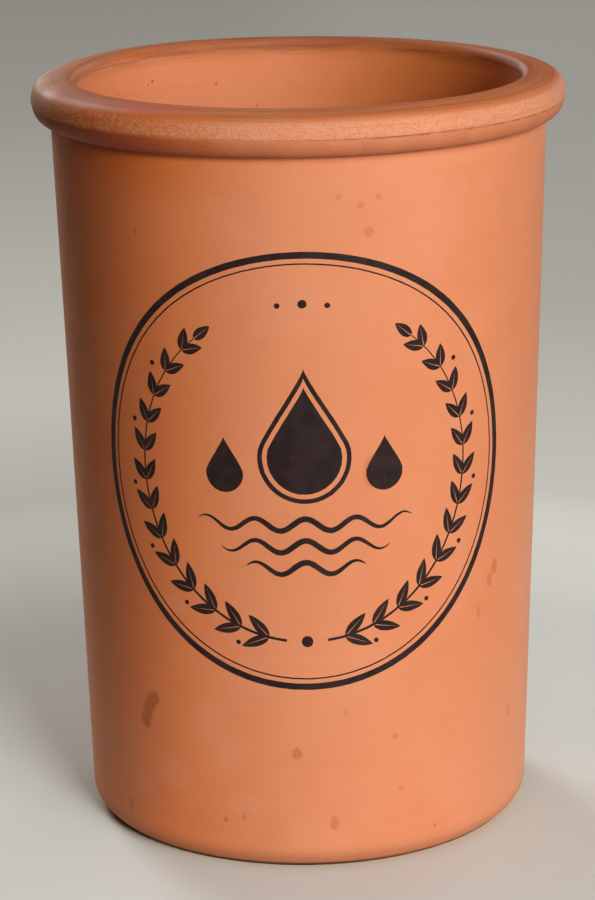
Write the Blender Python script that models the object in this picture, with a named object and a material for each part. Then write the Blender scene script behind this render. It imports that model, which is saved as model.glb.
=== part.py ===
"""Unglazed terracotta water cooler: an open, gently tapered pot with a rolled rim.

The pot is one fired piece, turned on the wheel: a single section, drawn from the middle of
the inner floor, over the rim and down to the middle of the underside, spun about the axis.
Metres, +Z up, the origin at the middle of the face that it stands on, the front towards -Y.
"""

import math

import bmesh
import bpy
from mathutils import Vector

# Overall sizes
POT_HEIGHT = 0.262
BODY_TOP_RADIUS = 0.0850
BODY_BASE_RADIUS = 0.0784
WALL_THICKNESS = 0.0085
FLOOR_THICKNESS = 0.0115
FLOOR_CORNER_RADIUS = 0.0060

# Rolled rim: inner lip, domed crest, rounded shoulder, fettled band, crease, quarter round
RIM_HEIGHT = 0.0145
RIM_OVERHANG = 0.0065
LIP_ROUND_WIDTH = 0.0022
LIP_ROUND_HEIGHT = 0.0030
CREST_FALL = 0.0018
SHOULDER_REACH = 0.0030
BAND_HEIGHT = 0.0062
BAND_BULGE = 0.0019
CREASE_STEP = 0.0003
CREASE_HEIGHT = 0.0003
COVE_RADIUS = 0.0010

# Foot: sponged edge that tucks in on a curve, standing ring and the shallow hollow inside it
FOOT_CHAMFER_WIDTH = 0.0042
FOOT_CHAMFER_HEIGHT = 0.0069
FOOT_CHAMFER_POWER = 2.0
STANDING_RING_WIDTH = 0.0110
HOLLOW_DEPTH = 0.0018
HOLLOW_SLOPE_WIDTH = 0.0030

# Fineness of the turned surface
TURN_STEPS = 96
FLOOR_CORNER_STEPS = 4
WALL_STEPS = 5
LIP_STEPS = 5
CREST_STEPS = 4
SHOULDER_STEPS = 4
BAND_STEPS = 2
UNDERSIDE_STEPS = 6
COVE_STEPS = 2
FOOT_STEPS = 6
WELD_DISTANCE = 0.0001

# Fired clay: colour, roughness
CLAY_COLOUR = (0.73, 0.27, 0.13, 1.0)
CLAY_ROUGHNESS = 0.85

RIM_UNDERSIDE = POT_HEIGHT - RIM_HEIGHT
RIM_RADIUS = BODY_TOP_RADIUS + RIM_OVERHANG
CREST_EDGE_HEIGHT = POT_HEIGHT - CREST_FALL
CREASE_TOP = CREST_EDGE_HEIGHT - BAND_HEIGHT
CREASE_BOTTOM = CREASE_TOP - CREASE_HEIGHT
FOOT_RADIUS = BODY_BASE_RADIUS - FOOT_CHAMFER_WIDTH
HOLLOW_EDGE_RADIUS = FOOT_RADIUS - STANDING_RING_WIDTH


def clear_scene():
    for item in list(bpy.data.objects):
        bpy.data.objects.remove(item, do_unlink=True)


def wall_radius(height):
    """Outer radius of the wall, which tapers straight down to the foot."""
    share = (height - FOOT_CHAMFER_HEIGHT) / (RIM_UNDERSIDE - FOOT_CHAMFER_HEIGHT)
    return BODY_BASE_RADIUS + (BODY_TOP_RADIUS - BODY_BASE_RADIUS) * share


def inner_radius(height):
    return wall_radius(height) - WALL_THICKNESS


def steps(count):
    """The shares 1/count, 2/count ... 1 of a stretch whose first point is there already."""
    return [step / count for step in range(1, count + 1)]


def crossing(first, first_way, second, second_way):
    """Where two lines of the section cross. Each is a point and a direction."""
    gap = (second[0] - first[0], second[1] - first[1])
    turn = first_way[0] * second_way[1] - first_way[1] * second_way[0]
    reach = (gap[0] * second_way[1] - gap[1] * second_way[0]) / turn
    return first[0] + first_way[0] * reach, first[1] + first_way[1] * reach


def bend(start, corner, end, share):
    """A point of the smooth bend that leaves start towards corner and meets end from there."""
    ways = zip(start, corner, end)
    return tuple((1 - share) ** 2 * a + 2 * share * (1 - share) * b + share**2 * c for a, b, c in ways)


def floor_section():
    """The inner floor, from the axis to the foot of the wall, with its rounded corner."""
    corner_top = FLOOR_THICKNESS + FLOOR_CORNER_RADIUS
    corner_centre = inner_radius(corner_top) - FLOOR_CORNER_RADIUS
    points = [(0.0, FLOOR_THICKNESS), (corner_centre, FLOOR_THICKNESS)]
    for share in steps(FLOOR_CORNER_STEPS):
        angle = share * math.pi / 2
        across = FLOOR_CORNER_RADIUS * math.sin(angle)
        up = FLOOR_CORNER_RADIUS * (1 - math.cos(angle))
        points.append((corner_centre + across, FLOOR_THICKNESS + up))
    return points


def inner_wall_section():
    bottom = FLOOR_THICKNESS + FLOOR_CORNER_RADIUS
    top = POT_HEIGHT - LIP_ROUND_HEIGHT
    heights = [bottom + (top - bottom) * share for share in steps(WALL_STEPS)]
    return [(inner_radius(height), height) for height in heights]


def rim_section():
    """Lip round, domed crest, shoulder, fettled band, crease and quarter round, ending in the cove."""
    lip_start = inner_radius(POT_HEIGHT - LIP_ROUND_HEIGHT)
    crest_radius = lip_start + LIP_ROUND_WIDTH
    crest_edge = RIM_RADIUS - BAND_BULGE
    crest_width = crest_edge - crest_radius
    shoulder_start = 1 - SHOULDER_REACH / crest_width
    shoulder_end = SHOULDER_REACH / BAND_HEIGHT

    def crest(share):
        return crest_radius + crest_width * share, POT_HEIGHT - CREST_FALL * share**2

    def band(share):
        return crest_edge + BAND_BULGE * (1 - (1 - share) ** 2), CREST_EDGE_HEIGHT - BAND_HEIGHT * share

    points = []
    for share in steps(LIP_STEPS):
        angle = share * math.pi / 2
        across = LIP_ROUND_WIDTH * (1 - math.cos(angle))
        drop = LIP_ROUND_HEIGHT * (1 - math.sin(angle))
        points.append((lip_start + across, POT_HEIGHT - drop))
    for share in steps(CREST_STEPS):
        points.append(crest(shoulder_start * share))
    crest_way = (crest_width, -2 * CREST_FALL * shoulder_start)
    band_way = (2 * BAND_BULGE * (1 - shoulder_end), -BAND_HEIGHT)
    corner = crossing(crest(shoulder_start), crest_way, band(shoulder_end), band_way)
    for share in steps(SHOULDER_STEPS):
        points.append(bend(crest(shoulder_start), corner, band(shoulder_end), share))
    for share in steps(BAND_STEPS):
        points.append(band(shoulder_end + (1 - shoulder_end) * share))
    round_radius = RIM_RADIUS - CREASE_STEP
    cove_edge = BODY_TOP_RADIUS + COVE_RADIUS
    points.append((round_radius, CREASE_BOTTOM))
    for share in steps(UNDERSIDE_STEPS):
        angle = share * math.pi / 2
        radius = cove_edge + (round_radius - cove_edge) * math.cos(angle)
        height = CREASE_BOTTOM - (CREASE_BOTTOM - RIM_UNDERSIDE) * math.sin(angle)
        points.append((radius, height))
    cove_bottom = RIM_UNDERSIDE - COVE_RADIUS
    cove_shift = wall_radius(cove_bottom) - BODY_TOP_RADIUS
    for share in steps(COVE_STEPS):
        angle = share * math.pi / 2
        radius = cove_edge - COVE_RADIUS * math.sin(angle) + cove_shift * share
        points.append((radius, RIM_UNDERSIDE - COVE_RADIUS * (1 - math.cos(angle))))
    return points


def outer_wall_section():
    top = RIM_UNDERSIDE - COVE_RADIUS
    heights = [top + (FOOT_CHAMFER_HEIGHT - top) * share for share in steps(WALL_STEPS)]
    return [(wall_radius(height), height) for height in heights]


def foot_section():
    """The curved chamfer, the standing ring and the hollow of the underside."""
    points = []
    for share in steps(FOOT_STEPS):
        tuck = FOOT_CHAMFER_WIDTH * share**FOOT_CHAMFER_POWER
        points.append((BODY_BASE_RADIUS - tuck, FOOT_CHAMFER_HEIGHT * (1 - share)))
    return points + [
        (HOLLOW_EDGE_RADIUS, 0.0),
        (HOLLOW_EDGE_RADIUS - HOLLOW_SLOPE_WIDTH, HOLLOW_DEPTH),
        (0.0, HOLLOW_DEPTH),
    ]


def pot_section():
    return floor_section() + inner_wall_section() + rim_section() + outer_wall_section() + foot_section()


def turned_mesh(name, section):
    """Spins a section whose two ends lie on the axis into one closed body."""
    form = bmesh.new()
    corners = [form.verts.new((radius, 0.0, height)) for radius, height in section]
    edges = [form.edges.new(pair) for pair in zip(corners, corners[1:])]
    bmesh.ops.spin(
        form,
        geom=corners + edges,
        cent=Vector((0.0, 0.0, 0.0)),
        axis=Vector((0.0, 0.0, 1.0)),
        angle=2 * math.pi,
        steps=TURN_STEPS,
        use_merge=True,
    )
    poles = [corner for corner in form.verts if corner.co.xy.length < WELD_DISTANCE]
    bmesh.ops.remove_doubles(form, verts=poles, dist=WELD_DISTANCE)
    bmesh.ops.recalc_face_normals(form, faces=form.faces)
    mesh = bpy.data.meshes.new(name)
    form.to_mesh(mesh)
    form.free()
    return mesh


def clay_material():
    material = bpy.data.materials.new("terracotta")
    material.use_nodes = True
    shader = material.node_tree.nodes["Principled BSDF"]
    shader.inputs["Base Color"].default_value = CLAY_COLOUR
    shader.inputs["Roughness"].default_value = CLAY_ROUGHNESS
    shader.inputs["Metallic"].default_value = 0.0
    return material


def main():
    clear_scene()
    mesh = turned_mesh("cooler_pot", pot_section())
    mesh.materials.append(clay_material())
    pot = bpy.data.objects.new("cooler_pot", mesh)
    bpy.context.scene.collection.objects.link(pot)
    mesh.shade_smooth()
    mesh.set_sharp_from_angle(angle=math.radians(40))


main()
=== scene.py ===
"""Looks of the terracotta water cooler: fired clay, its rim marks and stains, and a round print.

Metres, +Z up, the front towards -Y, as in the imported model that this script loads.
"""

import math
from collections import namedtuple

import bmesh
import bpy
from mathutils import Matrix, Vector, noise


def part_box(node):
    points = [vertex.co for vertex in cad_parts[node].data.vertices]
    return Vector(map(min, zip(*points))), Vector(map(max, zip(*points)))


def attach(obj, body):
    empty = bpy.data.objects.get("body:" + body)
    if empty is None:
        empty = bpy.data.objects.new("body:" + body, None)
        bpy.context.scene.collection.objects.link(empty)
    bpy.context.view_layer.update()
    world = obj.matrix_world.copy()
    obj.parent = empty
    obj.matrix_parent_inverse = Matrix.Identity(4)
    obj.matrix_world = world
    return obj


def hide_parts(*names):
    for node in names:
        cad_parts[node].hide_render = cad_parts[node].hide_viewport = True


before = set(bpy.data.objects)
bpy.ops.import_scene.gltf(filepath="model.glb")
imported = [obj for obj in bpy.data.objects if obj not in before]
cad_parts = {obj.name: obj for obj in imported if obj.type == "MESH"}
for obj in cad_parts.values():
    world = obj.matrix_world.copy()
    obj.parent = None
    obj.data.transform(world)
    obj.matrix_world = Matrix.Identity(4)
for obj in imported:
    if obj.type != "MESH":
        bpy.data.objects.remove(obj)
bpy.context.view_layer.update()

MM = 0.001

# The pot, in the sizes of its solid
POT_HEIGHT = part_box("cooler_pot")[1].z
RIM_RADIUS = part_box("cooler_pot")[1].x
BODY_TOP_RADIUS = 85.0 * MM
BODY_BASE_RADIUS = 78.4 * MM
WALL_THICKNESS = 8.5 * MM
FLOOR_THICKNESS = 11.5 * MM
FLOOR_CORNER_RADIUS = 6.0 * MM
RIM_HEIGHT = 14.5 * MM
LIP_ROUND_WIDTH = 2.2 * MM
LIP_ROUND_HEIGHT = 3.0 * MM
CREST_FALL = 1.8 * MM
SHOULDER_REACH = 3.0 * MM
BAND_HEIGHT = 6.2 * MM
BAND_BULGE = 1.9 * MM
CREASE_STEP = 0.3 * MM
CREASE_HEIGHT = 0.3 * MM
COVE_RADIUS = 1.0 * MM
FOOT_CHAMFER_WIDTH = 4.2 * MM
FOOT_CHAMFER_HEIGHT = 6.9 * MM
FOOT_CHAMFER_POWER = 2.0
FOOT_LIFT = 0.25 * MM
FOOT_LIFT_WIDTH = 1.6 * MM
STANDING_RING_WIDTH = 11.0 * MM
HOLLOW_DEPTH = 1.8 * MM
HOLLOW_SLOPE_WIDTH = 3.0 * MM

RIM_UNDERSIDE = POT_HEIGHT - RIM_HEIGHT
CREST_EDGE_HEIGHT = POT_HEIGHT - CREST_FALL
CREASE_TOP = CREST_EDGE_HEIGHT - BAND_HEIGHT
CREASE_BOTTOM = CREASE_TOP - CREASE_HEIGHT
FOOT_RADIUS = BODY_BASE_RADIUS - FOOT_CHAMFER_WIDTH
HOLLOW_EDGE_RADIUS = FOOT_RADIUS - STANDING_RING_WIDTH

TURN_STEPS = 480

# How far the drying and firing moved the true turned form
SETTLE_DEPTH = 0.22 * MM
SETTLE_SPAN = 75 * MM
TOOL_MARK_DEPTH = 0.035 * MM
TOOL_MARK_SPAN = 3.2 * MM
TOOL_MARK_RUN = 90 * MM
FLAT_FOOT_REACH = 12 * MM

# The rim stands a little higher at the back left than elsewhere
RIM_RISE = 0.6 * MM
RIM_RISE_ANGLE = math.radians(-136.0)
RIM_RISE_REACH = math.radians(52.0)
RIM_RISE_START = 225 * MM


def shares(count):
    """The shares 1/count, 2/count ... 1 of a stretch whose first point is there already."""
    return [step / count for step in range(1, count + 1)]


def between(low, high, share):
    return low + (high - low) * share


def smooth_step(share):
    share = max(0.0, min(1.0, share))
    return share * share * (3 - 2 * share)


def wall_radius(height):
    share = (height - FOOT_CHAMFER_HEIGHT) / (RIM_UNDERSIDE - FOOT_CHAMFER_HEIGHT)
    return between(BODY_BASE_RADIUS, BODY_TOP_RADIUS, share)


def inner_radius(height):
    return wall_radius(height) - WALL_THICKNESS


def settled(place):
    """Where a point of the true form lies on the fired pot: a slow warp and faint tool marks."""
    warp = noise.noise_vector(place / SETTLE_SPAN)
    warp.z *= smooth_step(place.z / FLAT_FOOT_REACH)
    moved = place + warp * SETTLE_DEPTH
    high = smooth_step((place.z - RIM_RISE_START) / (POT_HEIGHT - RIM_RISE_START))
    if high:
        away = abs(math.remainder(math.atan2(place.x, -place.y) - RIM_RISE_ANGLE, 2 * math.pi))
        moved.z += RIM_RISE * high * smooth_step(1 - away / RIM_RISE_REACH)
    out = Vector((place.x, place.y, 0.0))
    if out.length > BODY_BASE_RADIUS / 2:
        track = Vector((place.x / TOOL_MARK_RUN, place.y / TOOL_MARK_RUN, place.z / TOOL_MARK_SPAN))
        moved += out.normalized() * noise.noise(track) * TOOL_MARK_DEPTH
    return moved


# One row of the section: where it is, its stretch, and how far along that stretch it lies
Row = namedtuple("Row", "radius height zone share")


def stretch(zone, count, point):
    return [Row(*point(share), zone, share) for share in shares(count)]


def quarter(share, centre, across, up):
    """A quarter turn about a centre, from the end of the across arm to the end of the up arm."""
    turn = share * math.pi / 2
    return centre[0] + across * math.cos(turn), centre[1] + up * math.sin(turn)


def inside_rows():
    corner_top = FLOOR_THICKNESS + FLOOR_CORNER_RADIUS
    corner_centre = inner_radius(corner_top) - FLOOR_CORNER_RADIUS
    lip_bottom = POT_HEIGHT - LIP_ROUND_HEIGHT

    def corner(share):
        return quarter(1 - share, (corner_centre, corner_top), FLOOR_CORNER_RADIUS, -FLOOR_CORNER_RADIUS)

    def wall(share):
        height = between(corner_top, lip_bottom, share)
        return inner_radius(height), height

    rows = [Row(0.0, FLOOR_THICKNESS, "floor", 0.0)]
    rows += stretch("floor", 24, lambda share: (corner_centre * share, FLOOR_THICKNESS))
    rows += stretch("floor", 8, corner)
    return rows + stretch("inside", 100, wall)


def crossing(first, first_way, second, second_way):
    """Where two lines of the section cross. Each is a point and a direction."""
    gap = (second[0] - first[0], second[1] - first[1])
    turn = first_way[0] * second_way[1] - first_way[1] * second_way[0]
    reach = (gap[0] * second_way[1] - gap[1] * second_way[0]) / turn
    return first[0] + first_way[0] * reach, first[1] + first_way[1] * reach


def bend(start, corner, end, share):
    """A point of the smooth bend that leaves start towards corner and meets end from there."""
    ways = zip(start, corner, end)
    return tuple((1 - share) ** 2 * a + 2 * share * (1 - share) * b + share**2 * c for a, b, c in ways)


def rim_rows():
    lip_bottom = POT_HEIGHT - LIP_ROUND_HEIGHT
    crest_start = inner_radius(lip_bottom) + LIP_ROUND_WIDTH
    crest_end = RIM_RADIUS - BAND_BULGE
    crest_width = crest_end - crest_start
    shoulder_start = 1 - SHOULDER_REACH / crest_width
    shoulder_end = SHOULDER_REACH / BAND_HEIGHT
    round_start = RIM_RADIUS - CREASE_STEP
    cove_edge = BODY_TOP_RADIUS + COVE_RADIUS
    cove_bottom = RIM_UNDERSIDE - COVE_RADIUS

    def lip(share):
        return quarter(share, (crest_start, lip_bottom), -LIP_ROUND_WIDTH, LIP_ROUND_HEIGHT)

    def crest(share):
        return crest_start + crest_width * share, POT_HEIGHT - CREST_FALL * share**2

    def band(share):
        return crest_end + BAND_BULGE * (1 - (1 - share) ** 2), CREST_EDGE_HEIGHT - BAND_HEIGHT * share

    crest_way = (crest_width, -2 * CREST_FALL * shoulder_start)
    band_way = (2 * BAND_BULGE * (1 - shoulder_end), -BAND_HEIGHT)
    corner = crossing(crest(shoulder_start), crest_way, band(shoulder_end), band_way)

    def shoulder(share):
        return bend(crest(shoulder_start), corner, band(shoulder_end), share)

    def crease(share):
        return between(RIM_RADIUS, round_start, share), between(CREASE_TOP, CREASE_BOTTOM, share)

    def underside(share):
        return quarter(share, (cove_edge, CREASE_BOTTOM), round_start - cove_edge, RIM_UNDERSIDE - CREASE_BOTTOM)

    def cove(share):
        turned = quarter(1 - share, (cove_edge, cove_bottom), -COVE_RADIUS, COVE_RADIUS)
        return turned[0] + (wall_radius(cove_bottom) - BODY_TOP_RADIUS) * share, turned[1]

    rows = stretch("lip", 12, lip)
    rows += stretch("crest", 14, lambda share: crest(shoulder_start * share))
    rows += stretch("shoulder", 12, shoulder)
    rows += stretch("band", 8, lambda share: band(between(shoulder_end, 1.0, share)))
    return rows + stretch("crease", 2, crease) + stretch("underside", 18, underside) + stretch("cove", 6, cove)


def outside_rows():
    top = RIM_UNDERSIDE - COVE_RADIUS
    edge_share = 1 - FOOT_LIFT / FOOT_CHAMFER_HEIGHT
    contact_radius = FOOT_RADIUS - FOOT_LIFT_WIDTH
    slope_end = HOLLOW_EDGE_RADIUS - HOLLOW_SLOPE_WIDTH

    def wall(share):
        height = between(top, FOOT_CHAMFER_HEIGHT, share)
        return wall_radius(height), height

    def chamfer(share):
        return BODY_BASE_RADIUS - FOOT_CHAMFER_WIDTH * share**FOOT_CHAMFER_POWER, FOOT_CHAMFER_HEIGHT * (1 - share)

    def lift(share):
        return bend(chamfer(edge_share), (FOOT_RADIUS, FOOT_LIFT / 4), (contact_radius, 0.0), share)

    def ring(share):
        return between(contact_radius, HOLLOW_EDGE_RADIUS, share), 0.0

    def slope(share):
        return between(HOLLOW_EDGE_RADIUS, slope_end, share), HOLLOW_DEPTH * share

    rows = stretch("wall", 130, wall) + stretch("chamfer", 14, lambda share: chamfer(edge_share * share))
    rows += stretch("edge", 10, lift) + stretch("under", 6, ring) + stretch("under", 4, slope)
    return rows + stretch("under", 18, lambda share: (slope_end * (1 - share), HOLLOW_DEPTH))


def turned_object(name, rows):
    """Spins rows whose first and last lie on the axis into one closed, settled body."""
    rings = rows[1:-1]
    places = [Vector((0.0, 0.0, rows[0].height))]
    for row in rings:
        for step in range(TURN_STEPS):
            angle = 2 * math.pi * step / TURN_STEPS
            places.append(Vector((row.radius * math.sin(angle), -row.radius * math.cos(angle), row.height)))
    places.append(Vector((0.0, 0.0, rows[-1].height)))
    last = len(places) - 1
    faces = []
    for step in range(TURN_STEPS):
        after = (step + 1) % TURN_STEPS
        faces.append((0, 1 + step, 1 + after))
        for ring in range(len(rings) - 1):
            low = 1 + ring * TURN_STEPS
            high = low + TURN_STEPS
            faces.append((low + step, high + step, high + after, low + after))
        low = 1 + (len(rings) - 1) * TURN_STEPS
        faces.append((low + step, last, low + after))
    mesh = bpy.data.meshes.new(name)
    mesh.from_pydata([settled(place) for place in places], [], faces)
    mesh.shade_smooth()
    made = bpy.data.objects.new(name, mesh)
    bpy.context.scene.collection.objects.link(made)
    return made


def write_rows(made, name, rows, value):
    """Stores a value of each row as a point attribute that the clay reads."""
    values = [value(rows[0])]
    for row in rows[1:-1]:
        values += [value(row)] * TURN_STEPS
    values.append(value(rows[-1]))
    made.data.attributes.new(name, "FLOAT", "POINT").data.foreach_set("value", values)


# How much painted shade each zone gets, then how much grit
ZONE_SHADES = {"crease": 0.90, "under": 0.75}
GRITS = {"band": 1.0, "crease": 0.6, "lip": 0.1, "underside": 0.15, "under": 0.8, "chamfer": 0.3}
POLISHED_ZONES = ("lip", "crest")
LIP_DARKENING_DEPTH = 4.5 * MM
COVE_SHADE_DEPTH = 2.5 * MM
FOOT_SHADE_HEIGHT = 2.5 * MM


def row_painted_shade(row):
    """Painted shade: 1 is the clay's own colour, 0 the deep clay colour, painted where shade falls under and round the
    rim, in the crease, on the wall just below the rim and under the pot.
    """
    if row.zone == "underside":
        return between(0.72, 0.44, row.share**0.5)
    if row.zone == "cove":
        return between(0.44, 0.52, row.share)
    if row.zone == "wall":
        return between(0.52, 1.0, smooth_step((RIM_UNDERSIDE - COVE_RADIUS - row.height) / COVE_SHADE_DEPTH))
    return ZONE_SHADES.get(row.zone, 1.0)


def row_grit(row):
    """1 where the fettling knife dragged grit out of the clay, 0 where the surface is smooth."""
    if row.zone == "shoulder":
        return smooth_step((row.share - 0.55) / 0.15)
    return GRITS.get(row.zone, 0.0)


def row_polish(row):
    """1 on the top of the rim, which the fire browned and hands have polished."""
    if row.zone == "shoulder":
        return between(1.0, 0.45, row.share / 0.6) * (1 - smooth_step((row.share - 0.55) / 0.12))
    return 1.0 if row.zone in POLISHED_ZONES else 0.0


def row_lip_darkening(row):
    """1 on the lip, fading down the inside, where the clay is darker and streaked."""
    if row.zone == "lip":
        return 1 - 0.5 * row.share
    if row.zone == "inside":
        return smooth_step((row.height - POT_HEIGHT + LIP_ROUND_HEIGHT + LIP_DARKENING_DEPTH) / LIP_DARKENING_DEPTH)
    return 0.0


def row_foot_shade(row):
    """Painted contact shadow and shade: 1 on the edge that the pot stands on, and a little painted shade on the foot
    above it.
    """
    shade_above = 0.22 * smooth_step((FOOT_CHAMFER_HEIGHT + FOOT_SHADE_HEIGHT - row.height) / (2 * FOOT_SHADE_HEIGHT))
    if row.zone == "wall":
        return shade_above
    if row.zone == "chamfer":
        return between(shade_above, 1.0, smooth_step((row.share - 0.71) / 0.15))
    return 1.0 if row.zone == "edge" else 0.0


def row_crease(row):
    return 1.0 if row.zone == "crease" else 0.0


def row_undercut(row):
    """Where the rim gets extra painted shade on its left: 1 just under the crease, less towards the cove."""
    if row.zone == "underside":
        return between(1.0, 0.3, row.share)
    return 0.3 if row.zone == "cove" else 0.0


def row_crest(row):
    if row.zone == "crest":
        return smooth_step((row.share - 0.1) / 0.6)
    return 1 - smooth_step((row.share - 0.4) / 0.6) if row.zone == "shoulder" else 0.0


def row_inner(row):
    return 1.0 if row.zone in ("floor", "inside") else 0.0


class Recipe:
    """The nodes of one material. Each call adds a node and gives back its output."""

    def __init__(self, name):
        self.material = bpy.data.materials.new(name)
        self.material.use_nodes = True
        self.tree = self.material.node_tree
        self.shader = self.tree.nodes["Principled BSDF"]
        self.place = self.node("ShaderNodeTexCoord", output="Object")

    def node(self, kind, inputs=None, output=0, **settings):
        made = self.tree.nodes.new(kind)
        for key, value in settings.items():
            setattr(made, key, value)
        for key, value in (inputs or {}).items():
            self.feed(made.inputs[key], value)
        return made.outputs if output is None else made.outputs[output]

    def feed(self, socket, value):
        if isinstance(value, bpy.types.NodeSocket):
            self.tree.links.new(value, socket)
        else:
            socket.default_value = value

    def row_value(self, name):
        return self.node("ShaderNodeAttribute", output="Fac", attribute_name=name)

    def sum(self, operation, first, second, clamp=False):
        return self.node("ShaderNodeMath", {0: first, 1: second}, operation=operation, use_clamp=clamp)

    def vector(self, operation, first, second, output="Vector"):
        return self.node("ShaderNodeVectorMath", {0: first, 1: second}, output, operation=operation)

    def ramp(self, value, low, high, to_low=0.0, to_high=1.0):
        inputs = {"Value": value, "From Min": low, "From Max": high, "To Min": to_low, "To Max": to_high}
        return self.node("ShaderNodeMapRange", inputs, interpolation_type="SMOOTHSTEP")

    def noise(self, size, detail=2.0, stretched=(1.0, 1.0, 1.0), place=None):
        """Noise from 0 to 1 with features of about that size in metres, drawn out along the axes."""
        scaled = self.vector("DIVIDE", place or self.place, tuple(size * share for share in stretched))
        return self.node("ShaderNodeTexNoise", {"Vector": scaled, "Scale": 1.0, "Detail": detail}, output="Fac")

    def grains(self, size):
        """Grains of about that size, each with a number of its own from 0 to 1."""
        scaled = self.vector("DIVIDE", self.place, (size,) * 3)
        colour = self.node("ShaderNodeTexVoronoi", {"Vector": scaled, "Scale": 1.0}, output="Color")
        return self.node("ShaderNodeSeparateXYZ", {"Vector": colour}, output="X")

    def turned_noise(self, size, length, detail=2.0):
        """Noise in streaks that follow the turning: of that size across and that length round."""
        flat = self.vector("MULTIPLY", self.place, (1.0, 1.0, 0.0))
        way = self.node("ShaderNodeVectorMath", {0: flat}, operation="NORMALIZE")
        round_way = self.vector("MULTIPLY", way, (RIM_RADIUS / length,) * 3)
        upward = self.vector("MULTIPLY", self.place, (0.0, 0.0, 1.0 / size))
        radius = self.node("ShaderNodeVectorMath", {0: flat}, output="Value", operation="LENGTH")
        inputs = {
            "Vector": self.vector("ADD", round_way, upward),
            "W": self.sum("DIVIDE", radius, size),
            "Scale": 1.0,
            "Detail": detail,
        }
        return self.node("ShaderNodeTexNoise", inputs, output="Fac", noise_dimensions="4D")

    def angle_from(self, angle):
        """How far round the pot a point lies from an angle, from 0 to pi."""
        away = (math.sin(angle), -math.cos(angle), 0.0)
        flat = self.vector("MULTIPLY", self.place, (1.0, 1.0, 0.0))
        way = self.node("ShaderNodeVectorMath", {0: flat}, operation="NORMALIZE")
        return self.sum("ARCCOSINE", self.vector("DOT_PRODUCT", way, away, "Value"), 0.0)

    def pulled(self, noise_colour, reach):
        """The place, pulled about by a coloured noise."""
        pull = self.vector("SUBTRACT", noise_colour, (0.5, 0.5, 0.5))
        pull = self.node("ShaderNodeVectorMath", {0: pull, "Scale": reach}, operation="SCALE")
        return self.vector("ADD", self.place, pull)

    def mix(self, share, first, second, blend="MIX"):
        inputs = {"Factor": share, 6: first, 7: second}
        return self.node("ShaderNodeMix", inputs, output=2, data_type="RGBA", blend_type=blend)

    def blend(self, share, first, second):
        """A number between two numbers."""
        return self.node("ShaderNodeMix", {0: share, 2: first, 3: second}, output=0)

    def bump(self, height, depth, normal=None):
        inputs = {"Height": height, "Distance": depth, "Strength": 1.0}
        if normal is not None:
            inputs["Normal"] = normal
        return self.node("ShaderNodeBump", inputs, output="Normal")

    def finish(self, colour, roughness, normal, **values):
        self.feed(self.shader.inputs["Base Color"], colour)
        self.feed(self.shader.inputs["Roughness"], roughness)
        self.feed(self.shader.inputs["Normal"], normal)
        for key, value in values.items():
            self.shader.inputs[key.replace("_", " ")].default_value = value
        return self.material


CLAY = (0.698, 0.232, 0.099, 1.0)
CLAY_PALE = (0.78, 0.35, 0.205, 1.0)
CLAY_RED = (0.62, 0.175, 0.060, 1.0)
# Deep clay colour: painted shade under and round the rim, and the clay that shows where the ink has worn
CLAY_DEEP_AND_SHADE = (0.34, 0.056, 0.006, 1.0)
CLAY_SMOKED = (0.51, 0.124, 0.021, 1.0)
# Darker clay: streaks on the lip and the top of the inside, and painted shade on the back of the rim top
CLAY_DARKER = (0.38, 0.125, 0.050, 1.0)
# Near-black painted contact shadow of the standing edge
CLAY_CONTACT_SHADE = (0.07, 0.020, 0.004, 1.0)
STAIN = (0.46, 0.105, 0.020, 1.0)
SPLASH = (0.80, 0.42, 0.27, 1.0)
GRIT_DARK = (0.42, 0.13, 0.05, 1.0)
GRIT_PALE = (0.69, 0.325, 0.190, 1.0)

# Painted shade and painted sheen, as tints round the pot: its tint, angle from the front, reach, and the heights
# over which it grows to its full strength
ShadeAndSheen = namedtuple("ShadeAndSheen", "tint angle reach low high")
SHADES_AND_SHEENS = [
    # Painted shade: deeper, redder clay on the shaded left flank, strongest higher up
    ShadeAndSheen((0.90, 0.64, 0.30, 1.0), math.radians(-58.0), math.radians(32.0), -160 * MM, 150 * MM),
    # Painted shade: the left of the rim and the wall just below it
    ShadeAndSheen((0.90, 0.72, 0.36, 1.0), math.radians(-44.0), math.radians(44.0), 225 * MM, 246 * MM),
    # Painted sheen: greyer clay on the left end of the rim top and shoulder
    ShadeAndSheen((0.88, 0.98, 1.0, 1.0), math.radians(-78.0), math.radians(46.0), 254 * MM, 258 * MM),
    # Painted shade: the back of the rim top
    ShadeAndSheen((0.80, 0.70, 0.58, 1.0), math.radians(180.0), math.radians(75.0), 256 * MM, 260 * MM),
    # Painted shade: browner clay on the left of the rim top
    ShadeAndSheen((1.0, 0.96, 0.50, 1.0), math.radians(-44.0), math.radians(36.0), 256 * MM, 260 * MM),
    # Painted shade: the right of the rim, from its band up
    ShadeAndSheen((0.90, 0.80, 0.66, 1.0), math.radians(88.0), math.radians(36.0), 250 * MM, 256 * MM),
    # Painted sheen: paler clay low down the right edge of the wall
    ShadeAndSheen((1.05, 1.22, 1.38, 1.0), math.radians(88.0), math.radians(42.0), 190 * MM, 120 * MM),
    # Painted shade: redder, deeper clay where the left flank turns into shade
    ShadeAndSheen((1.07, 0.90, 0.66, 1.0), math.radians(-34.0), math.radians(24.0), -10 * MM, 0 * MM),
]

# The side of the rim whose fettled band shows palest, and where the crease below it shows as a painted line of shade
PALE_RIM_ANGLE = math.radians(45.0)
PALE_RIM_REACH = (math.radians(105.0), math.radians(25.0))
# Painted shade under the left of the rim, on its underside and cove
DARK_RIM_ANGLE = math.radians(-62.0)
DARK_RIM_REACH = (math.radians(60.0), math.radians(15.0), 0.0, 0.48)
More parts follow.
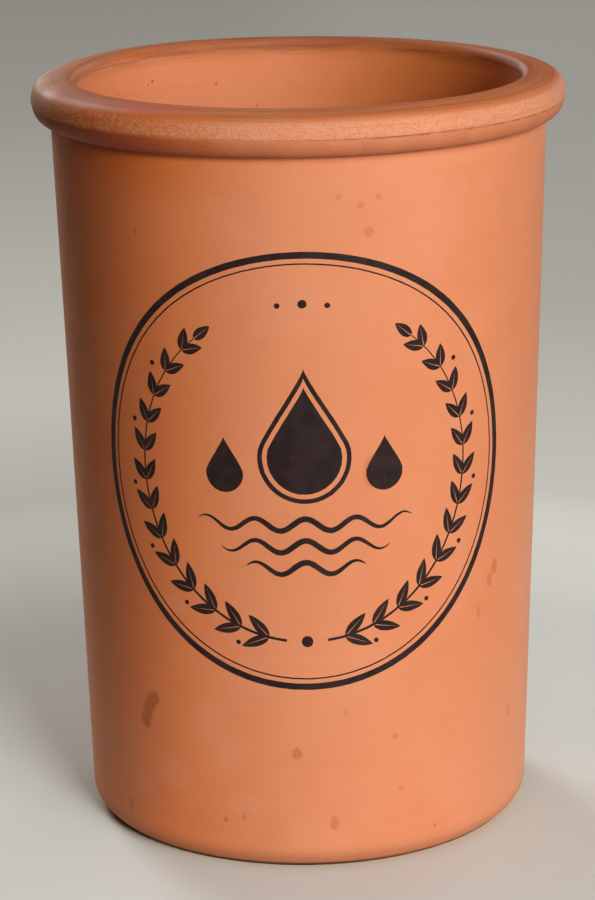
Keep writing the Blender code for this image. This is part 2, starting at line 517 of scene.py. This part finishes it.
# Painted shade on the back of the rim top
SHADED_CREST_ANGLE = math.radians(180.0)
SHADED_CREST_REACH = (math.radians(80.0), math.radians(25.0), 0.0, 0.8)
# The side where the painted contact shadow and foot shade are lighter, as the light falls there
LIT_FOOT_ANGLE = math.radians(58.0)
LIT_FOOT_REACH = (math.radians(18.0), math.radians(60.0), 0.78, 1.0)
# Painted shade: the crease shows as a dark line, strongest on this side
CREASE_ANGLE = math.radians(42.0)
CREASE_REACH = (math.radians(52.0), math.radians(15.0))
CREASE_SHADE = (0.30, 0.070, 0.020, 1.0)
# Painted shade: a deeper tint on the right of the inside, which lies in shade
INNER_ANGLE = math.radians(112.0)
INNER_REACH = (math.radians(80.0), math.radians(22.0))
INNER_SHADE_TINT = (0.87, 0.78, 0.42, 1.0)

# Mineral spots of the wall and the inside: angle in degrees from the front, height,
# half width, half height, and how strong the spot is
Spot = namedtuple("Spot", "angle height half_width half_height strength")
WALL_SPOTS = [
    Spot(-44.6, 47.8 * MM, 2.5 * MM, 3.8 * MM, 0.88),
    Spot(-43.8, 51.0 * MM, 2.4 * MM, 4.4 * MM, 0.88),
    Spot(-42.6, 54.6 * MM, 2.8 * MM, 3.8 * MM, 0.88),
    Spot(-41.2, 56.6 * MM, 2.5 * MM, 2.6 * MM, 0.88),
    Spot(-2.9, 43.0 * MM, 2.0 * MM, 2.4 * MM, 0.58),
    Spot(6.0, 17.3 * MM, 1.7 * MM, 2.8 * MM, 0.46),
    Spot(-21.5, 17.0 * MM, 1.0 * MM, 1.0 * MM, 0.65),
    Spot(-16.5, 18.9 * MM, 0.9 * MM, 1.0 * MM, 0.5),
    Spot(-52.8, 12.5 * MM, 1.5 * MM, 3.4 * MM, 0.5),
    Spot(9.1, 57.5 * MM, 1.3 * MM, 1.2 * MM, 0.28),
    Spot(21.4, 46.6 * MM, 1.3 * MM, 1.3 * MM, 0.4),
    Spot(23.2, 27.2 * MM, 1.1 * MM, 1.1 * MM, 0.38),
    Spot(33.1, 10.3 * MM, 0.9 * MM, 1.1 * MM, 0.5),
    Spot(61.6, 41.5 * MM, 1.2 * MM, 2.6 * MM, 0.35),
    Spot(8.4, 234.4 * MM, 1.2 * MM, 1.0 * MM, 0.3),
    Spot(13.2, 231.2 * MM, 1.5 * MM, 1.3 * MM, 0.36),
    Spot(17.2, 233.6 * MM, 1.4 * MM, 1.2 * MM, 0.34),
    Spot(15.0, 222.4 * MM, 1.9 * MM, 1.9 * MM, 0.44),
    Spot(-39.6, 220.4 * MM, 0.9 * MM, 1.5 * MM, 0.65),
    Spot(52.4, 98.6 * MM, 1.9 * MM, 3.0 * MM, 0.5),
    Spot(50.6, 94.4 * MM, 1.7 * MM, 2.8 * MM, 0.45),
    Spot(46.5, 84.2 * MM, 1.0 * MM, 2.4 * MM, 0.4),
    Spot(15.2, 141.6 * MM, 2.6 * MM, 6.0 * MM, 0.4),
    Spot(150.0, 72.0 * MM, 1.8 * MM, 4.6 * MM, 0.65),
    Spot(-112.0, 178.0 * MM, 1.5 * MM, 1.7 * MM, 0.5),
]
INSIDE_SPOTS = [
    Spot(-122.5, 247.7 * MM, 0.6 * MM, 0.6 * MM, 0.8),
    Spot(-136.4, 250.1 * MM, 0.8 * MM, 0.9 * MM, 0.9),
    Spot(-134.9, 249.0 * MM, 0.5 * MM, 0.6 * MM, 0.65),
    Spot(-156.8, 246.8 * MM, 0.9 * MM, 0.8 * MM, 0.6),
    Spot(-168.4, 237.8 * MM, 0.8 * MM, 0.8 * MM, 0.45),
    Spot(120.0, 192.0 * MM, 1.2 * MM, 2.0 * MM, 0.5),
]
# Pale marks that splashes left when they dried
SPLASHES = [
    Spot(-24.5, 53.0 * MM, 7.0 * MM, 8.0 * MM, 0.11),
    Spot(-20.0, 41.0 * MM, 6.0 * MM, 6.0 * MM, 0.08),
    Spot(-36.0, 30.0 * MM, 8.0 * MM, 4.5 * MM, 0.10),
    Spot(-47.0, 23.0 * MM, 6.0 * MM, 4.0 * MM, 0.07),
    Spot(-33.0, 92.0 * MM, 6.0 * MM, 5.0 * MM, 0.09),
    Spot(-16.0, 23.0 * MM, 8.0 * MM, 3.5 * MM, 0.08),
]


def add_spots(clay, colour, spots, tint, radius_at, place):
    """Blends spots with soft, ragged edges into a colour."""
    total = 0.0
    for spot in spots:
        angle = math.radians(spot.angle)
        radius = radius_at(spot.height)
        centre = (radius * math.sin(angle), -radius * math.cos(angle), spot.height)
        away = clay.vector("SUBTRACT", place, centre)
        scaled = clay.vector("DIVIDE", away, (spot.half_width, spot.half_width, spot.half_height))
        reach = clay.node("ShaderNodeVectorMath", {0: scaled}, output="Value", operation="LENGTH")
        total = clay.sum("MAXIMUM", total, clay.ramp(reach, 1.2, 0.55, 0.0, spot.strength))
    return clay.mix(total, colour, tint)


def add_shades_and_sheens(clay, colour):
    height = clay.node("ShaderNodeSeparateXYZ", {"Vector": clay.place}, output="Z")
    for shade_and_sheen in SHADES_AND_SHEENS:
        around = clay.ramp(clay.angle_from(shade_and_sheen.angle), shade_and_sheen.reach, 0.0)
        share = clay.sum("MULTIPLY", around, clay.ramp(height, shade_and_sheen.low, shade_and_sheen.high))
        colour = clay.mix(share, colour, shade_and_sheen.tint, "MULTIPLY")
    return colour


def clay_material(name, specular):
    clay = Recipe(name)
    painted_shade = clay.row_value("painted_shade")
    grit = clay.row_value("grit")
    polish = clay.row_value("polish")
    lip_darkening = clay.row_value("lip_darkening")
    foot_shade = clay.row_value("foot_shade")
    crease = clay.row_value("crease")
    undercut = clay.row_value("undercut")
    inner = clay.row_value("inner")
    crest = clay.row_value("crest")

    cloud = clay.noise(46 * MM, 3.0)
    blotch = clay.noise(12 * MM, 3.0)
    streak = clay.turned_noise(2.6 * MM, 70 * MM)
    line_streak = clay.turned_noise(1.5 * MM, 38 * MM, 3.0)
    grain = clay.noise(0.8 * MM, 2.0)
    speck = clay.grains(0.55 * MM)
    score = clay.turned_noise(0.7 * MM, 60 * MM)
    paler_side = clay.ramp(clay.angle_from(PALE_RIM_ANGLE), *PALE_RIM_REACH)

    colour = clay.mix(clay.ramp(cloud, 0.42, 0.70, 0.0, 0.16), CLAY, CLAY_PALE)
    colour = clay.mix(clay.ramp(cloud, 0.48, 0.25, 0.0, 0.20), colour, CLAY_RED)
    colour = clay.mix(clay.ramp(blotch, 0.46, 0.28, 0.0, 0.12), colour, CLAY_RED)
    colour = clay.mix(clay.ramp(streak, 0.52, 0.30, 0.0, 0.12), colour, CLAY_RED)
    colour = clay.mix(clay.ramp(grain, 0.56, 0.75, 0.0, 0.12), colour, CLAY_PALE)

    burnt = clay.sum("MULTIPLY", polish, clay.ramp(line_streak, 0.36, 0.62, 1.0, 0.55))
    colour = clay.mix(burnt, colour, CLAY_SMOKED)
    # Painted shade: deep clay colour under and round the rim, in the crease and under the pot, more under the left of
    # the rim, with a little random drift of tone
    shaded = clay.sum("MULTIPLY", undercut, clay.ramp(clay.angle_from(DARK_RIM_ANGLE), *DARK_RIM_REACH))
    wear_and_shade = clay.sum("SUBTRACT", clay.sum("ADD", painted_shade, clay.ramp(blotch, 0.30, 0.70, -0.04, 0.04)), shaded, clamp=True)
    colour = clay.mix(clay.ramp(wear_and_shade, 1.0, 0.0), colour, CLAY_DEEP_AND_SHADE)
    # Darker, streaked clay on the lip and the top of the inside
    lip_streaked = clay.sum("MULTIPLY", lip_darkening, clay.ramp(clay.turned_noise(1.6 * MM, 24 * MM, 3.0), 0.34, 0.60, 0.25, 0.95))
    colour = clay.mix(lip_streaked, colour, CLAY_DARKER)
    # Painted shade: darker clay on the back of the rim top
    back_crest_shade = clay.sum("MULTIPLY", crest, clay.ramp(clay.angle_from(SHADED_CREST_ANGLE), *SHADED_CREST_REACH))
    colour = clay.mix(back_crest_shade, colour, CLAY_DARKER)
    # Painted shade and sheen tints round the pot
    colour = add_shades_and_sheens(clay, colour)
    # Painted shade on the right of the inside
    inner_shade = clay.sum("MULTIPLY", inner, clay.ramp(clay.angle_from(INNER_ANGLE), *INNER_REACH))
    colour = clay.mix(inner_shade, colour, INNER_SHADE_TINT, "MULTIPLY")

    specks = clay.sum("ADD", clay.ramp(speck, 0.45, 0.85, 0.0, 0.52), clay.sum("MULTIPLY", paler_side, 0.16), clamp=True)
    colour = clay.mix(clay.sum("MULTIPLY", grit, specks), colour, GRIT_PALE)
    dark = clay.sum("MAXIMUM", clay.ramp(speck, 0.25, 0.05, 0.0, 0.28), clay.ramp(score, 0.44, 0.34, 0.0, 0.30))
    colour = clay.mix(clay.sum("MULTIPLY", grit, dark), colour, GRIT_DARK)
    # Painted shade: the crease as a broken dark line, strongest on the right
    broken = clay.ramp(clay.noise(5 * MM, 2.0), 0.35, 0.60, 0.2, 0.8)
    line = clay.sum("MULTIPLY", clay.sum("MULTIPLY", crease, broken), clay.ramp(clay.angle_from(CREASE_ANGLE), *CREASE_REACH))
    colour = clay.mix(line, colour, CREASE_SHADE)
    # Painted contact shadow on the standing edge and painted shade on the foot, lighter on the lit right
    foot_shaded = clay.sum("MULTIPLY", foot_shade, clay.ramp(clay.angle_from(LIT_FOOT_ANGLE), *LIT_FOOT_REACH))
    colour = clay.mix(foot_shaded, colour, CLAY_CONTACT_SHADE)

    ragged = clay.node("ShaderNodeTexNoise", {"Vector": clay.place, "Scale": 420.0, "Detail": 2.0}, output="Color")
    colour = add_spots(clay, colour, WALL_SPOTS, STAIN, wall_radius, clay.pulled(ragged, 1.5 * MM))
    colour = add_spots(clay, colour, INSIDE_SPOTS, STAIN, inner_radius, clay.pulled(ragged, 1.5 * MM))
    coarse = clay.node("ShaderNodeTexNoise", {"Vector": clay.place, "Scale": 110.0, "Detail": 3.0}, output="Color")
    colour = add_spots(clay, colour, SPLASHES, SPLASH, wall_radius, clay.pulled(coarse, 9.0 * MM))

    roughness = clay.ramp(blotch, 0.3, 0.7, 0.58, 0.68)
    roughness = clay.sum("SUBTRACT", roughness, clay.sum("MULTIPLY", polish, 0.02))
    roughness = clay.sum("ADD", roughness, clay.sum("MULTIPLY", grit, 0.15))
    fine = clay.bump(grain, 0.02 * MM)
    fine = clay.bump(streak, 0.03 * MM, fine)
    fine = clay.bump(line_streak, 0.012 * MM, fine)
    pits = clay.sum("MULTIPLY", grit, speck)
    normal = clay.bump(pits, 0.05 * MM, fine)
    return clay.finish(colour, roughness, normal, Specular_IOR_Level=specular)


CLAY_SLOTS = {"floor": 1, "inside": 1, "lip": 2, "crest": 2, "shoulder": 2}


def share_out(made, rows):
    """Gives the inside the second material, and the polished top of the rim the third."""
    for face in made.data.polygons:
        ring = min((corner - 1) // TURN_STEPS for corner in face.vertices)
        face.material_index = CLAY_SLOTS.get(rows[ring + 1].zone, 0)


pot_rows = inside_rows() + rim_rows() + outside_rows()
pot = turned_object("turned_pot", pot_rows)
ROW_VALUES = {
    "painted_shade": row_painted_shade,
    "grit": row_grit,
    "polish": row_polish,
    "lip_darkening": row_lip_darkening,
    "foot_shade": row_foot_shade,
    "crease": row_crease,
    "undercut": row_undercut,
    "inner": row_inner,
    "crest": row_crest,
}
for name, value in ROW_VALUES.items():
    write_rows(pot, name, pot_rows, value)
pot.data.materials.append(clay_material("fired_clay", 0.38))
pot.data.materials.append(clay_material("inner_clay", 0.10))
pot.data.materials.append(clay_material("rim_clay", 0.35))
share_out(pot, pot_rows)
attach(pot, "root")
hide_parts("cooler_pot")

# The fired-on print: a film of dark ceramic ink, drawn flat in metres and wrapped round the wall
PRINT_CENTRE_HEIGHT = 141.45 * MM
PRINT_WALL_RADIUS = wall_radius(PRINT_CENTRE_HEIGHT)
PRINT_RADIUS = 75.25 * MM
PRINT_SQUEEZE = 0.991
INK_PROUD = 0.05 * MM
INK_SUNK = 0.12 * MM
INK_EDGE_RAG = 0.09 * MM
INK_EDGE_SPAN = 1.6 * MM
INK_GRID = 1.6 * MM

# A flat shape: point(s, t) for s and t from 0 to 1, its rows and columns, and whether s closes
Patch = namedtuple("Patch", "point columns rows closed")


def on_wall(across, up, lift):
    """A flat point of the print on the settled wall, with the ragged edge that ink gets on clay."""
    rag = noise.noise_vector(Vector((across, up, 0.0)) / INK_EDGE_SPAN) * INK_EDGE_RAG
    angle = (across * PRINT_SQUEEZE + rag.x) / PRINT_WALL_RADIUS
    height = PRINT_CENTRE_HEIGHT + up + rag.y
    radius = wall_radius(height)
    base = settled(Vector((radius * math.sin(angle), -radius * math.cos(angle), height)))
    return base + Vector((math.sin(angle), -math.cos(angle), 0.0)) * lift


def film_object(name, patches):
    """Each patch becomes one closed film, from just under the clay to just above it."""
    vertices = []
    faces = []
    for patch in patches:
        columns = patch.columns if patch.closed else patch.columns + 1
        sheet = columns * (patch.rows + 1)
        start = len(vertices)
        for lift in (INK_PROUD, -INK_SUNK):
            for row in range(patch.rows + 1):
                for column in range(columns):
                    flat = patch.point(column / patch.columns, row / patch.rows)
                    vertices.append(on_wall(flat[0], flat[1], lift))

        def at(column, row, level):
            return start + level * sheet + row * columns + column % columns

        for row in range(patch.rows):
            for column in range(patch.columns):
                corners = [(column, row), (column + 1, row), (column + 1, row + 1), (column, row + 1)]
                faces.append([at(c, r, 0) for c, r in corners])
                faces.append([at(c, r, 1) for c, r in reversed(corners)])
        rim = [((c, 0), (c + 1, 0)) for c in range(patch.columns)]
        rim += [((c + 1, patch.rows), (c, patch.rows)) for c in range(patch.columns)]
        if not patch.closed:
            rim += [((patch.columns, r), (patch.columns, r + 1)) for r in range(patch.rows)]
            rim += [((0, r + 1), (0, r)) for r in range(patch.rows)]
        for (c1, r1), (c2, r2) in rim:
            faces.append([at(c1, r1, 0), at(c1, r1, 1), at(c2, r2, 1), at(c2, r2, 0)])
    mesh = bpy.data.meshes.new(name)
    mesh.from_pydata(vertices, [], faces)
    form = bmesh.new()
    form.from_mesh(mesh)
    bmesh.ops.recalc_face_normals(form, faces=form.faces)
    form.to_mesh(mesh)
    form.free()
    made = bpy.data.objects.new(name, mesh)
    bpy.context.scene.collection.objects.link(made)
    return made


def ring_patch(radius, width):
    def point(s, t):
        angle = s * 2 * math.pi
        reach = radius - width * t
        return reach * math.sin(angle), reach * math.cos(angle)

    return Patch(point, max(16, round(2 * math.pi * radius / INK_GRID)), 1, True)


def stroke_patch(line, width, length):
    """A line, given as a function of the share of its length, drawn with a width that varies."""
    def point(s, t):
        step = 0.001
        here = Vector(line(s))
        ahead = Vector(line(min(1.0, s + step))) - Vector(line(max(0.0, s - step)))
        side = Vector((-ahead.y, ahead.x)).normalized()
        flat = here + side * width(s) * (t - 0.5)
        return flat.x, flat.y

    return Patch(point, max(6, round(length / INK_GRID * 1.5)), 1, False)


def disc_patches(centre, radius):
    """A solid dot: a square grid pulled out to a circle."""
    def point(s, t):
        x = 2 * s - 1
        y = 2 * t - 1
        return (centre[0] + radius * x * math.sqrt(1 - y * y / 2),
                centre[1] + radius * y * math.sqrt(1 - x * x / 2))

    return [Patch(point, 4, 4, False)]


BRANCH_RADIUS = 58.0 * MM
BRANCH_START = math.radians(7.0)
BRANCH_END = math.radians(141.0)
STEM_WIDTH = 0.95 * MM
LEAF_LENGTH = 10.5 * MM
LEAF_HALF_WIDTH = 1.75 * MM
LEAF_VEIN = 0.30 * MM
LEAF_SPREAD = math.radians(34.0)
LEAF_PAIRS = 13
BERRY_RADIUS = 0.85 * MM


def branch_point(side, share):
    """A point of a branch that leaves the bottom of the circle and climbs on one side."""
    angle = between(BRANCH_START, BRANCH_END, share)
    return side * BRANCH_RADIUS * math.sin(angle), -BRANCH_RADIUS * math.cos(angle)


def leaf_patches(root, heading, length):
    """A pointed leaf in two halves, with its vein left bare."""
    along = Vector((math.cos(heading), math.sin(heading)))
    across = Vector((-along.y, along.x))

    def half(sign):
        def point(s, t):
            fullness = math.sin(math.pi * s**0.8) ** 0.85
            vein = LEAF_VEIN / 2 * (1 - s)
            outer = vein + LEAF_HALF_WIDTH * fullness + 0.02 * MM
            flat = Vector(root) + along * length * s + across * sign * between(vein, outer, t)
            return flat.x, flat.y

        return Patch(point, 9, 1, False)

    return [half(1), half(-1)]


def wreath_patches():
    patches = []
    for side in (-1, 1):
        length = BRANCH_RADIUS * (BRANCH_END - BRANCH_START)
        patches.append(stroke_patch(
            lambda share, side=side: branch_point(side, share),
            lambda share: STEM_WIDTH * (1 - 0.65 * share),
            length,
        ))
        for pair in range(LEAF_PAIRS):
            share = (pair + 0.6) / (LEAF_PAIRS + 0.2)
            root = branch_point(side, share)
            angle = between(BRANCH_START, BRANCH_END, share)
            heading = math.atan2(math.sin(angle), side * math.cos(angle))
            size = LEAF_LENGTH * between(1.0, 0.72, share)
            for turn in (-1, 1):
                patches += leaf_patches(root, heading + turn * LEAF_SPREAD, size)
            if pair % 2:
                out = Vector(root).normalized() * 5.6 * MM
                ahead = Vector((math.cos(heading), math.sin(heading))) * -1.2 * MM
                patches += disc_patches(Vector(root) + out + ahead, BERRY_RADIUS)
        tip = branch_point(side, 1.0)
        heading = math.atan2(math.sin(BRANCH_END), side * math.cos(BRANCH_END))
        patches += leaf_patches(tip, heading, LEAF_LENGTH * 0.72)
    for step in (-1, 0, 1):
        angle = math.radians(8.0) * step
        centre = (BRANCH_RADIUS * math.sin(angle), BRANCH_RADIUS * math.cos(angle))
        patches += disc_patches(centre, BERRY_RADIUS * (1.7 if step == 0 else 1.1))
    patches += disc_patches((0.0, -BRANCH_RADIUS), 2.0 * MM)
    return patches


def drop_patches(centre, height, gleam):
    """A falling drop: a round belly that draws in to a point above. A gleam is left bare."""
    belly = height * 0.34

    def half_width(share):
        """Half the drop's width at a share of its height, measured from the bottom."""
        level = height * share
        if level < belly * 1.25:
            return math.sqrt(max(0.0, belly**2 - (level - belly) ** 2))
        low = belly * 1.25
        start = math.sqrt(belly**2 - (low - belly) ** 2)
        rise = (level - low) / (height - low)
        return start * (1 - rise) ** 1.25 * (1 + 0.35 * rise)

    def outline(s, t):
        level = (1 - math.cos(math.pi * t)) / 2
        width = half_width(level)
        return centre[0] + (2 * s - 1) * width, centre[1] - belly + height * level

    if not gleam:
        return [Patch(outline, 8, 14, False)]

    def core(s, t):
        flat = outline(s, t)
        return between(centre[0], flat[0], 0.80), between(centre[1], flat[1], 0.80)

    return [Patch(core, 12, 20, False), drop_rim_patch(centre, height, half_width, belly)]


def drop_rim_patch(centre, height, half_width, belly):
    """The line round a drop, at an even width."""
    def edge(s):
        share = abs(2 * s - 1)
        level = (1 + math.cos(math.pi * share)) / 2
        side = 1 if s < 0.5 else -1
        return centre[0] + side * half_width(1 - level), centre[1] - belly + height * (1 - level)

    def point(s, t):
        flat = edge(s)
        shrink = 1 - 0.10 * t
        return (centre[0] + (flat[0] - centre[0]) * shrink,
                centre[1] + (flat[1] - centre[1]) * shrink)

    return Patch(point, 64, 1, True)


WAVE_PITCH = 17.0 * MM
WAVE_DEPTH = 2.1 * MM
WAVE_WIDTH = 1.9 * MM
WAVE_GAP = 7.6 * MM
WAVE_LENGTHS = (74 * MM, 58 * MM, 41 * MM)
WAVE_TOP = -17.0 * MM


def wave_patches():
    patches = []
    for index, length in enumerate(WAVE_LENGTHS):
        level = WAVE_TOP - WAVE_GAP * index

        def line(share, length=length, level=level):
            across = (share - 0.5) * length
            return across, level + WAVE_DEPTH * math.cos(2 * math.pi * across / WAVE_PITCH)

        patches.append(stroke_patch(
            line,
            lambda share: WAVE_WIDTH * math.sin(math.pi * share) ** 0.6 + 0.1 * MM,
            length * 1.25,
        ))
    return patches


def ink_material():
    ink = Recipe("ceramic_ink")
    wear_and_shade = ink.noise(0.55 * MM, 2.0)
    density = ink.noise(6 * MM, 2.0)
    colour = ink.mix(ink.ramp(density, 0.35, 0.65), (0.018, 0.009, 0.008, 1.0), (0.028, 0.015, 0.013, 1.0))
    colour = ink.mix(ink.ramp(wear_and_shade, 0.68, 0.78, 0.0, 0.55), colour, CLAY_DEEP_AND_SHADE)
    return ink.finish(colour, 0.55, ink.bump(wear_and_shade, 0.02 * MM), Specular_IOR_Level=0.15)


ink = ink_material()
prints = [
    film_object("print_outer_ring", [ring_patch(PRINT_RADIUS, 2.25 * MM)]),
    film_object("print_inner_ring", [ring_patch(71.5 * MM, 0.50 * MM)]),
    film_object("print_wreath", wreath_patches()),
    film_object("print_drops", drop_patches((0.0, 6 * MM), 46 * MM, True)
                + drop_patches((-27 * MM, 0.0), 19 * MM, False)
                + drop_patches((27 * MM, 0.0), 19 * MM, False)),
    film_object("print_waves", wave_patches()),
]
for piece in prints:
    piece.data.materials.append(ink)
    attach(piece, "root")

# Floor that curves up all round into a backdrop
FLOOR_REACH = 2.4
BEND_RADIUS = 1.4
BACKDROP_HEIGHT = 3.2
FLOOR_DROP = 0.1 * MM
PAPER = (0.745, 0.76, 0.705, 1.0)
# Painted bounce light: an orange tint on the floor round the foot, as the clay would throw
CLAY_BOUNCE_LIGHT = (0.95, 0.72, 0.46, 1.0)
BOUNCE_LIGHT_REACH = (81 * MM, 74 * MM, 0.0, 0.55)
FAR_PAPER = (0.12, 0.12, 0.112, 1.0)
FAR_STARTS = 0.14
FAR_FULL = 0.40

# The grey that the backdrop glows with by its distance from the pot, as the camera and reflections see it: painted
# light that dims further off. A painted soft shadow of the pot lies on the left near the pot; further off the left is
# the lighter side.
BACKDROP_HUE = (1.0, 0.965, 0.865, 1.0)
BACKDROP_GREYS = [
    (0.24, 0.78, 0.22),
    (0.38, 0.49, 0.12),
    (0.57, 0.500, -0.05),
    (0.78, 0.425, -0.07),
    (1.13, 0.365, -0.03),
    (1.50, 0.315, 0.03),
    (2.08, 0.290, 0.08),
    (2.50, 0.255, 0.0),
    (3.40, 0.090, 0.0),
]
BACKDROP_SIDE = 0.10
BACKDROP_STARTS = 0.14
BACKDROP_FULL = 0.38


def stage_object():
    line = [(0.0, 0.0)] + [(FLOOR_REACH * share, 0.0) for share in shares(6)]
    for share in shares(20):
        turn = share * math.pi / 2
        line.append((FLOOR_REACH + BEND_RADIUS * math.sin(turn), BEND_RADIUS * (1 - math.cos(turn))))
    line.append((FLOOR_REACH + BEND_RADIUS, BACKDROP_HEIGHT))
    sides = 96
    form = bmesh.new()
    corners = [form.verts.new((reach, 0.0, height - FLOOR_DROP)) for reach, height in line]
    edges = [form.edges.new(pair) for pair in zip(corners, corners[1:])]
    bmesh.ops.spin(form, geom=corners + edges, cent=(0, 0, 0), axis=(0, 0, 1), angle=2 * math.pi,
                   steps=sides, use_merge=True)
    poles = [corner for corner in form.verts if corner.co.xy.length < MM]
    bmesh.ops.remove_doubles(form, verts=poles, dist=MM)
    bmesh.ops.recalc_face_normals(form, faces=form.faces)
    mesh = bpy.data.meshes.new("stage")
    form.to_mesh(mesh)
    form.free()
    mesh.shade_smooth()
    made = bpy.data.objects.new("stage", mesh)
    bpy.context.scene.collection.objects.link(made)
    return made


def paper_material():
    """Paper that shows the pot's real shadow near it, and fades further off into a glowing backdrop of painted light,
    with a painted shadow on the left.
    """
    paper = Recipe("stage_paper")
    reach = paper.node("ShaderNodeVectorMath", {0: paper.place}, output="Value", operation="LENGTH")
    across = paper.node("ShaderNodeSeparateXYZ", {"Vector": paper.place}, output="X")
    side = paper.ramp(across, -BACKDROP_SIDE, BACKDROP_SIDE, -1.0, 1.0)
    grey, tilt = BACKDROP_GREYS[0][1:]
    for (near, *_), (far, *there) in zip(BACKDROP_GREYS, BACKDROP_GREYS[1:]):
        share = paper.sum("DIVIDE", paper.sum("SUBTRACT", reach, near), far - near, clamp=True)
        grey = paper.blend(share, grey, there[0])
        tilt = paper.blend(share, tilt, there[1])
    grey = paper.sum("MULTIPLY", grey, paper.sum("ADD", paper.sum("MULTIPLY", side, tilt), 1.0))
    rays = paper.tree.nodes.new("ShaderNodeLightPath").outputs
    seen = paper.sum("MAXIMUM", rays["Is Camera Ray"], rays["Is Glossy Ray"])
    seen = paper.sum("MAXIMUM", seen, rays["Is Transmission Ray"])
    fade = paper.sum("MULTIPLY", paper.ramp(reach, BACKDROP_STARTS, BACKDROP_FULL), seen)
    even = paper.node("ShaderNodeEmission", {"Color": BACKDROP_HUE, "Strength": grey}, output="Emission")
    near_paper = paper.shader.outputs["BSDF"]
    both = paper.node("ShaderNodeMixShader", {0: fade, 1: near_paper, 2: even}, output="Shader")
    paper.feed(paper.tree.nodes["Material Output"].inputs["Surface"], both)
    fibre = paper.noise(1.2 * MM, 2.0)
    own = paper.mix(paper.ramp(reach, FAR_STARTS, FAR_FULL), PAPER, FAR_PAPER)
    # Painted bounce light from the clay on the floor round the foot
    own = paper.mix(paper.ramp(reach, *BOUNCE_LIGHT_REACH), own, CLAY_BOUNCE_LIGHT)
    return paper.finish(own, 0.9, paper.bump(fibre, 0.02 * MM), Specular_IOR_Level=0.15)


stage = stage_object()
stage.data.materials.append(paper_material())

# Camera: where the photograph was taken from
CAMERA_PLACE = Vector((0.0, -1.01688, 0.41927))
CAMERA_PITCH = math.radians(16.05)
CAMERA_YAW = math.radians(-0.134)
CAMERA_ROLL = math.radians(-0.977)
CAMERA_LENS_MM = 119.3


def make_camera():
    data = bpy.data.cameras.new("camera")
    data.lens = CAMERA_LENS_MM
    data.sensor_width = 36.0
    data.sensor_fit = "AUTO"
    camera = bpy.data.objects.new("camera", data)
    bpy.context.scene.collection.objects.link(camera)
    ahead = Vector((
        math.sin(CAMERA_YAW) * math.cos(CAMERA_PITCH),
        math.cos(CAMERA_YAW) * math.cos(CAMERA_PITCH),
        -math.sin(CAMERA_PITCH),
    ))
    level = Vector((math.cos(CAMERA_YAW), -math.sin(CAMERA_YAW), 0.0))
    upright = level.cross(ahead)
    right = level * math.cos(CAMERA_ROLL) + upright * math.sin(CAMERA_ROLL)
    up = upright * math.cos(CAMERA_ROLL) - level * math.sin(CAMERA_ROLL)
    turn = Matrix((right, up, -ahead)).transposed().to_4x4()
    camera.matrix_world = Matrix.Translation(CAMERA_PLACE) @ turn
    bpy.context.scene.camera = camera


make_camera()

WORLD_STRENGTH = 0.0


def make_world():
    world = bpy.data.worlds.new("studio")
    world.use_nodes = True
    background = world.node_tree.nodes["Background"]
    background.inputs["Color"].default_value = (1.0, 1.0, 1.0, 1.0)
    background.inputs["Strength"].default_value = WORLD_STRENGTH
    bpy.context.scene.world = world


make_world()


def softbox(name, azimuth, elevation, distance, size, power):
    """A square area light that faces the pot; azimuth 0 is the front, 90 the right."""
    data = bpy.data.lights.new(name, "AREA")
    data.shape = "SQUARE"
    data.size = size
    data.energy = power
    lamp = bpy.data.objects.new(name, data)
    bpy.context.scene.collection.objects.link(lamp)
    turn = math.radians(azimuth)
    rise = math.radians(elevation)
    away = Vector((math.sin(turn) * math.cos(rise), -math.cos(turn) * math.cos(rise), math.sin(rise)))
    lamp.location = Vector((0.0, 0.0, POT_HEIGHT / 2)) + away * distance
    lamp.rotation_mode = "QUATERNION"
    lamp.rotation_quaternion = away.to_track_quat("Z", "Y")
    lamp.visible_camera = False
    return lamp


softbox("key", 22, 23, 1.7, 0.51, 20.2)
softbox("key_side", 41, 14, 1.7, 0.51, 10.6)
softbox("back_left", -150, 31, 3.0, 0.9, 30.5)
softbox("back_low", -157, 14, 3.0, 0.9, 12.5)
softbox("back_right", 148, 8, 3.0, 0.9, 13.5)
softbox("top", 0, 89, 3.0, 0.9, 9.0)

bpy.context.scene.view_settings.view_transform = "Standard"
